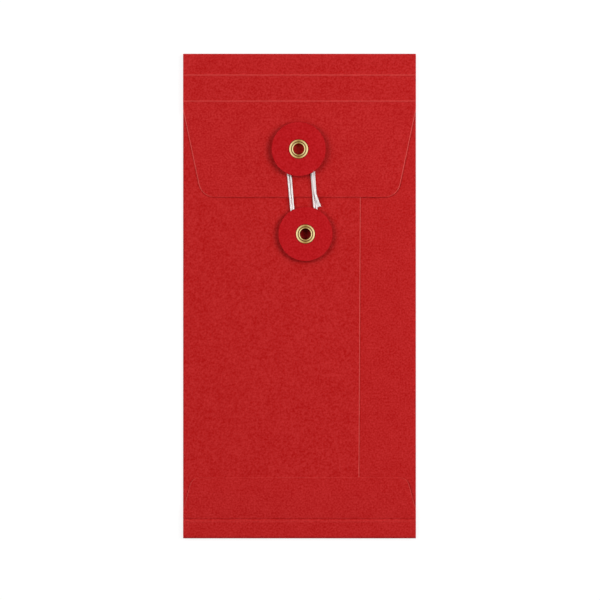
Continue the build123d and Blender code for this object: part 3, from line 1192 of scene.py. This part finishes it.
@dataclass
class TieString:
    """The string: a tie turn round the flap eyelet, two loops round both eyelets and a frayed free end."""

    diameter: float = 0.00088
    tie_radius: float = 0.003375
    loop_radius: float = 0.00495
    pitch: float = 0.00129
    low_pitch: float = 0.00096
    loop_shift: float = 0.0002
    level: float = 0.0032
    length: float = 0.2848
    sag_reach: float = 0.008
    near: float = 0.0057
    turn_points: int = 10
    line_steps: int = 10
    lay: float = 0.0026
    lay_steps: int = 12
    plies: int = 3
    ply_sides: int = 9
    ply_share: float = 0.33
    ply_offset_share: float = 0.23
    fray_reach: float = 0.008
    fray_root_share: float = 0.92
    fray_width: float = 0.00034
    fray_flat_share: float = 0.5
    fray_spread: float = 0.062
    fray_stray_share: float = 0.35
    fray_short_share: float = 0.86
    fray_fibres: int = 160
    fray_seed: int = 5
    stray_id: int = 7
    fibre_radius: float = 0.00005
    fibre_steps: int = 8
    fibre_sides: int = 5

    # The free end's route from the top of the last loop: across, along and above the loops
    TAIL = (
        (-0.00604, 0.00200, 0.00000),
        (-0.00390, 0.00495, 0.00050),
        (-0.00030, 0.00610, 0.00100),
        (0.00340, 0.00495, 0.00106),
        (0.00558, 0.00190, 0.00106),
        (0.00542, -0.00620, 0.00102),
        (0.00550, -0.01350, 0.00100),
        (0.00578, -0.02000, 0.00106),
        (0.00642, -0.02360, 0.00106),
        (0.00695, -0.02560, 0.00076),
        (0.00725, -0.02750, 0.00006),
    )

    def __post_init__(self) -> None:
        """Works out the frame of the loops from the two eyelets."""
        upper, lower = middle_of("flap_eyelet"), middle_of("pocket_eyelet")
        run = Vector((upper.x - lower.x, upper.y - lower.y, 0))
        self.span = run.length
        along = run.normalized()
        across = Vector((along.y, -along.x, 0))
        self.plane = Matrix((across, along, Vector((0, 0, 1)))).transposed().to_4x4()
        self.plane.translation = Vector((upper.x, upper.y, self.level))

    def half_turn(self, start: float, end: float, along: float, side: int) -> list[tuple]:
        """Points of a half circle between two parallel runs.

        Args:
            start: Where it starts, across.
            end: Where it ends, across.
            along: Where both runs end, along.
            side: 1 to bulge forwards, -1 to bulge backwards.

        Returns:
            The points, ends included.
        """
        middle, radius = (start + end) / 2, (end - start) / 2
        bulge = side * abs(radius)
        angles = [math.pi * step / self.turn_points for step in range(self.turn_points + 1)]
        return [(middle - radius * math.cos(a), along + bulge * math.sin(a), 0.0) for a in angles]

    def route(self) -> Loop:
        """The string's control points, from the tie turn to the free end.

        Returns:
            Points in the frame.
        """
        points = [(self.tie_radius, self.diameter, 0.0)]
        points += self.half_turn(self.tie_radius, -self.tie_radius, 0, -1)
        left = -self.tie_radius
        for turn in (0, 1):
            high, low = (self.loop_radius + turn * pitch for pitch in (self.pitch, self.low_pitch))
            start, left = left, self.loop_shift - high
            points += self.half_turn(start, self.loop_shift + high, 0, 1)[1 - turn :]
            points.append((self.loop_shift + high, -self.near, 0.0))
            points.append((self.loop_shift + low, self.near - self.span, 0.0))
            points += self.half_turn(self.loop_shift + low, self.loop_shift - low, -self.span, -1)
            points.append((self.loop_shift - low, self.near - self.span, 0.0))
            points.append((left, -self.near, 0.0))
        points.append((left, 0.0, 0.0))
        points += self.TAIL
        return [self.plane @ Vector(point) for point in points]

    def line(self) -> Loop:
        """The string's smooth middle line.

        Returns:
            Points read from the route's spline.
        """
        curve = bpy.data.curves.new("tie_string_route", "CURVE")
        curve.dimensions = "3D"
        curve.resolution_u = self.line_steps
        spline = curve.splines.new("NURBS")
        route = self.route()
        spline.points.add(len(route) - 1)
        for point, place in zip(spline.points, route):
            point.co = (*place, 1.0)
        spline.order_u = 3
        spline.use_endpoint_u = True
        carrier = bpy.data.objects.new("tie_string_route", curve)
        mesh = bpy.data.meshes.new_from_object(carrier)
        points = [vertex.co.copy() for vertex in mesh.vertices]
        bpy.data.objects.remove(carrier)
        bpy.data.meshes.remove(mesh)
        return points

    def ply_tree(self) -> bpy.types.NodeTree:
        """Plies twisted round a line.

        Returns:
            The geometry node tree.
        """
        sizes = dict.fromkeys(("Radius", "Offset", "Lay", "Step"), "Float")
        tree, add, given = new_tree("twisted_plies", **sizes)
        line = add("GeometryNodeMeshToCurve", {"Mesh": given["Geometry"]})
        even = add("GeometryNodeResampleCurve", {"Curve": line, "Length": given["Step"]}, mode="LENGTH")
        travel = add("GeometryNodeSplineParameter").outputs["Length"]
        turns = add("ShaderNodeMath", {0: travel, 1: given["Lay"]}, operation="DIVIDE")
        tilt = add("ShaderNodeMath", {0: turns, 1: math.tau}, operation="MULTIPLY")
        twisted = add("GeometryNodeSetCurveTilt", {"Curve": even, "Tilt": tilt})
        corners, ply = (
            add("GeometryNodeCurvePrimitiveCircle", {"Resolution": count, "Radius": given[radius]})
            for count, radius in ((self.plies, "Offset"), (self.ply_sides, "Radius"))
        )
        bundle = add("GeometryNodeInstanceOnPoints", {"Points": corners, "Instance": ply})
        profile = add("GeometryNodeRealizeInstances", {"Geometry": bundle})
        sweep = {"Curve": twisted, "Profile Curve": profile, "Fill Caps": True}
        finish_tree(add, add("GeometryNodeCurveToMesh", sweep), given["Material"])
        return tree

    def fray_tree(self) -> bpy.types.NodeTree:
        """Loose fibres that fan out from a point towards +Z.

        Returns:
            The geometry node tree.
        """
        sizes = dict.fromkeys(("Reach", "Width", "Spread", "Radius"), "Float")
        tree, add, given = new_tree("loose_fibres", Count="Int", Seed="Int", **sizes)
        seed, spread = {"Seed": given["Seed"]}, {1: given["Spread"]}
        corner = Vector((1.0, self.fray_flat_share, 0.0))
        area = {LEAST_VECTOR: -corner, MOST_VECTOR: corner, **seed}
        spot = add("FunctionNodeRandomValue", area, data_type="FLOAT_VECTOR")
        place = add("ShaderNodeVectorMath", {0: spot, "Scale": given["Width"]}, operation="SCALE")
        roots = add("GeometryNodePoints", {"Count": given["Count"], "Position": place})
        end = add("ShaderNodeCombineXYZ", {"Z": given["Reach"]})
        line = add("GeometryNodeCurvePrimitiveLine", {"End": end})
        steps = add("GeometryNodeResampleCurve", {"Curve": line, "Count": self.fibre_steps})
        section = {"Resolution": self.fibre_sides, "Radius": given["Radius"]}
        ring = add("GeometryNodeCurvePrimitiveCircle", section)
        sweep = {"Curve": steps, "Profile Curve": ring, "Fill Caps": True}
        fibre = add("GeometryNodeCurveToMesh", sweep)
        across = add("ShaderNodeSeparateXYZ", {0: add("GeometryNodeInputPosition")}).outputs["X"]
        side = add("ShaderNodeMath", {0: across, 1: given["Width"]}, operation="DIVIDE")
        strays = {LEAST: -self.fray_stray_share, MOST: self.fray_stray_share, "ID": self.stray_id, **seed}
        stray = add("FunctionNodeRandomValue", strays, data_type="FLOAT")
        lean = add("ShaderNodeMath", {0: side, 1: stray}, operation="ADD")
        turn = add("ShaderNodeMath", {0: lean, **spread}, operation="MULTIPLY")
        rise = add("ShaderNodeMath", {0: stray, **spread}, operation="MULTIPLY")
        aim = add("ShaderNodeCombineXYZ", {"X": rise, "Y": turn})
        lengths = {LEAST: self.fray_short_share, MOST: 1.0, **seed}
        share = add("FunctionNodeRandomValue", lengths, data_type="FLOAT")
        size = add("ShaderNodeCombineXYZ", {"X": 1.0, "Y": 1.0, "Z": share})
        growth = {"Points": roots, "Instance": fibre, "Rotation": aim, "Scale": size}
        finish_tree(add, add("GeometryNodeInstanceOnPoints", growth), given["Material"])
        return tree

    def frayed_end(self, points: Loop) -> bpy.types.Object:
        """The loose fibres of the free end.

        Args:
            points: The string's middle line.

        Returns:
            The fibres' object, at the origin.
        """
        values = {
            "Count": self.fray_fibres,
            "Reach": self.fray_reach,
            "Width": self.fray_width,
            "Spread": self.fray_spread,
            "Radius": self.fibre_radius,
            "Seed": self.fray_seed,
            "Material": COTTON,
        }
        fibres = grown("tie_string_fray", bpy.data.meshes.new("fray_seed"), self.fray_tree(), values)
        end = points[-1]
        root = self.fray_reach * self.fray_root_share
        start = min(points, key=lambda point: abs((end - point).length - root))
        ahead = (end - start).normalized()
        across = Vector((-ahead.y, ahead.x, 0)).normalized()
        pose = Matrix((across, ahead.cross(across), ahead)).transposed().to_4x4()
        pose.translation = start
        fibres.data.transform(pose)
        return fibres

    def build(self) -> None:
        points = self.line()
        host = bpy.data.meshes.new("tie_string_line")
        host.from_pydata(points, [(index, index + 1) for index in range(len(points) - 1)], [])
        values = {
            "Radius": self.diameter * self.ply_share,
            "Offset": self.diameter * self.ply_offset_share,
            "Lay": self.lay,
            "Step": self.lay / self.lay_steps,
            "Material": COTTON,
        }
        piece = grown("tie_string_cotton", host, self.ply_tree(), values)
        fray = self.frayed_end(points)
        hinge = Vector(JOINT_AT["string_drop"])
        ends = (hinge, hinge - Vector((0, self.sag_reach, 0)))
        for part in (piece, fray):
            bridge(part, ("flap", "tie_string"), ends, "string_winding", "string_tail")
        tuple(points[0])


@dataclass
class Studio:
    """The floor, the lamps, the world and the camera."""

    field_width: float = 0.28352
    lens: float = 400.0
    sensor: float = 36.0
    aim: tuple[float, float] = (0.000232, -0.001864)
    subject_level: float = 0.00135
    floor_reach: float = 3.0
    floor_drop: float = 0.00002
    floor_tuck: float = 0.0012
    floor_leak: float = 0.6
    floor_glow: float = 0.82
    floor_lit: str = "#F2F2F2"
    floor_seen: str = "#808080"
    room_light: str = "#FFFFFF"
    room_overhead: str = "#383838"
    room_warm: str = "#FFDFA8"
    overhead_from: float = 0.82
    overhead_full: float = 0.97
    ahead_from: float = -0.6
    ahead_full: float = 0.4
    dim_room: float = 0.24
    lit_room: float = 0.46
    lit_below: float = 0.95
    end_glare: float = 0.5
    side_glare: float = 1.6
    warm_reach: float = 0.7

    # Name, place, size and power of each soft lamp
    LAMPS = (
        ("right_lamp", (0.55, 0.15, 0.67), (0.4, 0.5), 4.3),
        ("left_lamp", (-1.05, 0.29, 1.27), (0.7, 0.9), 11.2),
        ("top_lamp", (0.1, 0.6, 0.7), (0.6, 0.35), 0.5),
    )

    def build(self) -> None:
        """Sets the stage."""
        self.camera()
        self.floor()
        self.lamps()
        self.world()
        bpy.context.scene.view_settings.view_transform = "Standard"

    def camera(self) -> None:
        """The camera straight above, with its top towards the top fold."""
        data = bpy.data.cameras.new("camera")
        data.lens = self.lens
        data.sensor_width = self.sensor
        camera = add_to_scene("camera", data)
        camera.location = (*self.aim, self.subject_level + self.field_width * self.lens / self.sensor)
        bpy.context.scene.camera = camera

    def floor(self) -> None:
        """A white floor round the envelope: it keeps the shadow, and passes light and sight from below."""
        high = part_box("front_panel")[1]
        corners = []
        outer = (self.floor_reach, self.floor_reach)
        for across, up in (outer, (high.x - self.floor_tuck, high.y - self.floor_tuck)):
            corners += [(-across, -up), (across, -up), (across, up), (-across, up)]
        sides = [(0, 1, 5, 4), (1, 2, 6, 5), (2, 3, 7, 6), (3, 0, 4, 7)]
        mesh = bpy.data.meshes.new("floor")
        mesh.from_pydata([(x, y, -self.floor_drop) for x, y in corners], [], sides)
        material, add = new_material("white_paper_floor")
        mesh.materials.append(material)
        ray = add("ShaderNodeLightPath").outputs
        seen = add("ShaderNodeMath", {0: ray["Is Camera Ray"], 1: ray["Is Glossy Ray"]}, operation="MAXIMUM")
        shown = add("ShaderNodeMath", {0: seen, 1: ray["Is Transmission Ray"]}, operation="MAXIMUM")
        matt = add("ShaderNodeBsdfDiffuse", {"Color": linear(self.floor_lit)})
        grey = add("ShaderNodeBsdfDiffuse", {"Color": linear(self.floor_seen)})
        glow = add("ShaderNodeEmission", {"Color": linear(self.room_light), "Strength": self.floor_glow})
        white = add("ShaderNodeAddShader", {0: grey, 1: glow})
        paper = add("ShaderNodeMixShader", {0: shown, 1: matt, 2: white})
        lit = add("ShaderNodeMath", {0: ray["Is Shadow Ray"], 1: ray["Is Diffuse Ray"]}, operation="MAXIMUM")
        leak = add("ShaderNodeMath", {0: lit, 1: self.floor_leak}, operation="MULTIPLY")
        under = add("ShaderNodeNewGeometry").outputs["Backfacing"]
        thin = add("ShaderNodeMath", {0: under, 1: leak}, operation="MAXIMUM")
        sheet = add("ShaderNodeMixShader", {0: thin, 1: paper, 2: add("ShaderNodeBsdfTransparent")})
        add("ShaderNodeOutputMaterial", {"Surface": sheet})
        add_to_scene("floor", mesh)

    def lamps(self) -> None:
        """Soft lamps at the right and the left, and a weak one above the top fold."""
        for name, place, size, power in self.LAMPS:
            data = bpy.data.lights.new(name, "AREA")
            data.shape = "RECTANGLE"
            data.size, data.size_y = size
            data.energy = power
            lamp = add_to_scene(name, data)
            lamp.location = place
            lamp.rotation_mode = "QUATERNION"
            lamp.rotation_quaternion = (-Vector(place)).to_track_quat("-Z", "Y")
            lamp.visible_glossy = False

    def world(self) -> None:
        """A room darker overhead and towards the bottom fold, lit from below, and white to the camera.

        Brass reflects bright sides and dimmer, warm ends.
        """
        world = bpy.data.worlds.new("studio")
        world.use_nodes = True
        world.node_tree.nodes.clear()
        add = partial(add_node, world.node_tree)
        way = add("ShaderNodeTexCoord").outputs["Generated"]
        part = add("ShaderNodeSeparateXYZ", {0: way}).outputs
        ray = add("ShaderNodeLightPath").outputs
        glossy = ray["Is Glossy Ray"]
        overhead = {"Value": part["Z"], "From Min": self.overhead_from, "From Max": self.overhead_full}
        height = add("ShaderNodeMapRange", overhead)
        light, dark = linear(self.room_light), linear(self.room_overhead)
        shades = {FACTOR: height, FROM_COLOUR: light, TO_COLOUR: dark}
        room = add("ShaderNodeMix", shades, data_type="RGBA")
        sideways = add("ShaderNodeMath", {0: part["X"]}, operation="ABSOLUTE")
        glare = {"Value": sideways, "To Min": self.end_glare, "To Max": self.side_glare}
        ends = {"Value": sideways, "From Max": self.warm_reach, "To Min": 1.0, "To Max": 0.0}
        warmth = add("ShaderNodeMapRange", ends)
        warm = add("ShaderNodeMath", {0: warmth, 1: glossy}, operation="MULTIPLY")
        warming = {FACTOR: warm, FROM_COLOUR: room, TO_COLOUR: linear(self.room_warm)}
        tint = add("ShaderNodeMix", warming, data_type="RGBA", blend_type="MULTIPLY")
        below = add("ShaderNodeMath", {0: part["Z"], 1: 0.0}, operation="LESS_THAN")
        depth = {"Value": part["Y"], "From Min": self.ahead_from, "From Max": self.ahead_full}
        ahead = add("ShaderNodeMapRange", {**depth, "To Min": self.dim_room, "To Max": self.lit_room})
        levels = {FACTOR: below, FROM_VALUE: ahead, TO_VALUE: self.lit_below}
        level = add("ShaderNodeMix", levels, data_type="FLOAT")
        powers = {FACTOR: glossy, FROM_VALUE: level, TO_VALUE: add("ShaderNodeMapRange", glare)}
        power = add("ShaderNodeMix", powers, data_type="FLOAT")
        lit = add("ShaderNodeBackground", {"Color": tint, "Strength": power})
        white = add("ShaderNodeBackground", {"Color": light, "Strength": 1.0})
        direct = {0: ray["Is Camera Ray"], 1: ray["Is Transmission Ray"]}
        seen = add("ShaderNodeMath", direct, operation="MAXIMUM")
        mix = add("ShaderNodeMixShader", {0: seen, 1: lit, 2: white})
        add("ShaderNodeOutputWorld", {"Surface": mix})
        bpy.context.scene.world = world


def dress_nodes() -> None:
    """Gives the nodes that stay their finish."""
    glue = frame["nodes"]["seam_glue"]
    glue.data.materials.clear()
    glue.data.materials.append(GLUE)


def main() -> None:
    """Builds the envelope piece by piece and sets the stage."""
    logging.basicConfig(level=logging.INFO, format="%(name)s: %(message)s")
    Studio().build()
    TieString().build()
    Pocket().build()
    ClosingFlap().build()
    # The bore's painted shade: none for the flap eyelet, full for the pocket eyelet's darker hole
    Eyelet("flap", "flap", "flap_disc", bore_shade=0.0).build()
    Eyelet("pocket", "pocket_back", "pocket_disc", bore_shade=1.0).build()
    dress_nodes()


if __name__ == "__main__":
    main()
